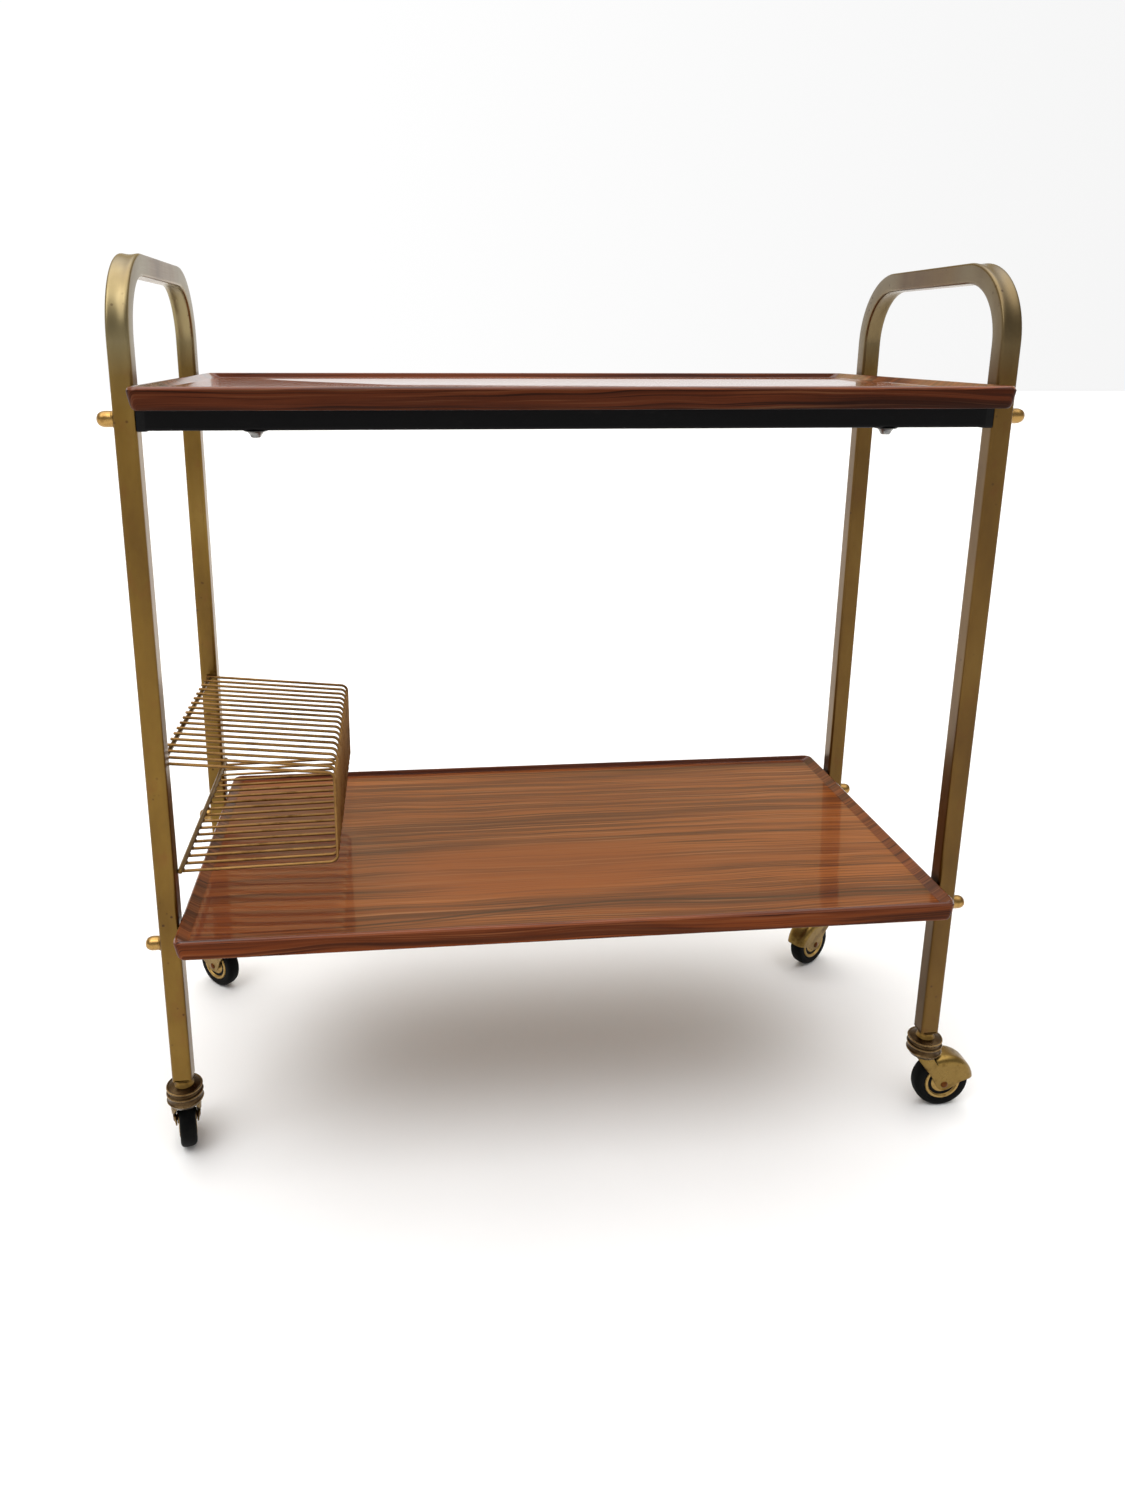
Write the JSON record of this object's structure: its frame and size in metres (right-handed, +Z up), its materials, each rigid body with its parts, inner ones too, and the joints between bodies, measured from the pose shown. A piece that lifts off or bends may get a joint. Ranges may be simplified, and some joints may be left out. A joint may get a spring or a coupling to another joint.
{
  "type": "bar cart",
  "caption": "Two-tier bar cart with bent square-tube brass hoops, shallow wooden trays on black rails, a bent-wire rack on one hoop and swivel castors with hooded forks.",
  "frame": {"origin": "middle of the outline on the floor, where the wheels stand", "axes": "+X along the trays, +Y to the back, +Z up; the wire rack is on the -X hoop"},
  "size_m": [0.7368, 0.328, 0.733],
  "materials": {
    "satin_brass": "satin, anodised",
    "bright_brass": "polished",
    "walnut": "glossy varnish over straight-grained veneer",
    "black_paint": "satin",
    "black_plastic": "moulded",
    "bright_steel": "zinc plated",
    "rubber": "smooth tread"
  },
  "bodies": {
    "frame": {"hoop_left": "satin_brass", "hoop_right": "satin_brass", "tray_top": "walnut", "tray_bottom": "walnut", "rail_top_front": "black_paint", "rail_top_back": "black_paint", "rail_bottom_front": "black_paint", "rail_bottom_back": "black_paint", "rail_end_plugs": "black_plastic", "rail_studs": "bright_steel", "acorn_nuts": "bright_brass", "tray_bolts": "bright_steel", "tray_washers": "bright_steel", "tray_inserts": "bright_steel", "rack_wires": "bright_brass", "rack_upper_rod": "bright_brass", "rack_lower_rod": "bright_brass", "plug_fl": "satin_brass", "plug_fr": "satin_brass", "plug_bl": "satin_brass", "plug_br": "satin_brass", "stem_fl": "bright_steel", "stem_fr": "bright_steel", "stem_bl": "bright_steel", "stem_br": "bright_steel", "cap_fl": "bright_brass", "cap_fr": "bright_brass", "cap_bl": "bright_brass", "cap_br": "bright_brass", "bearing_balls": "bright_steel"},
    "fork_fl": {"fork_fl": "bright_brass", "axle_fl": "bright_brass"},
    "wheel_fl": {"hub_fl": "bright_brass", "tyre_fl": "rubber"},
    "fork_fr": {"fork_fr": "bright_brass", "axle_fr": "bright_brass"},
    "wheel_fr": {"hub_fr": "bright_brass", "tyre_fr": "rubber"},
    "fork_bl": {"fork_bl": "bright_brass", "axle_bl": "bright_brass"},
    "wheel_bl": {"hub_bl": "bright_brass", "tyre_bl": "rubber"},
    "fork_br": {"fork_br": "bright_brass", "axle_br": "bright_brass"},
    "wheel_br": {"hub_br": "bright_brass", "tyre_br": "rubber"}
  },
  "joints": [
    {"name": "swivel_fl", "type": "hinge", "parent": "frame", "child": "fork_fl", "pos_m": [-0.32652, -0.1215, 0.06], "axis": [0, 0, 1], "continuous": true},
    {"name": "roll_fl", "type": "hinge", "parent": "fork_fl", "child": "wheel_fl", "pos_m": [-0.33087, -0.10404, 0.025], "axis": [-0.9703, -0.2419, 0], "continuous": true},
    {"name": "swivel_fr", "type": "hinge", "parent": "frame", "child": "fork_fr", "pos_m": [0.32248, -0.1215, 0.06], "axis": [0, 0, 1], "continuous": true},
    {"name": "roll_fr", "type": "hinge", "parent": "fork_fr", "child": "wheel_fr", "pos_m": [0.34048, -0.1215, 0.025], "axis": [0, 1, 0], "continuous": true},
    {"name": "swivel_bl", "type": "hinge", "parent": "frame", "child": "fork_bl", "pos_m": [-0.32652, 0.1215, 0.06], "axis": [0, 0, 1], "continuous": true},
    {"name": "roll_bl", "type": "hinge", "parent": "fork_bl", "child": "wheel_bl", "pos_m": [-0.33989, 0.13354, 0.025], "axis": [-0.6691, -0.7431, 0], "continuous": true},
    {"name": "swivel_br", "type": "hinge", "parent": "frame", "child": "fork_br", "pos_m": [0.32248, 0.1215, 0.06], "axis": [0, 0, 1], "continuous": true},
    {"name": "roll_br", "type": "hinge", "parent": "fork_br", "child": "wheel_br", "pos_m": [0.30722, 0.11196, 0.025], "axis": [0.5299, -0.848, 0], "continuous": true}
  ]
}
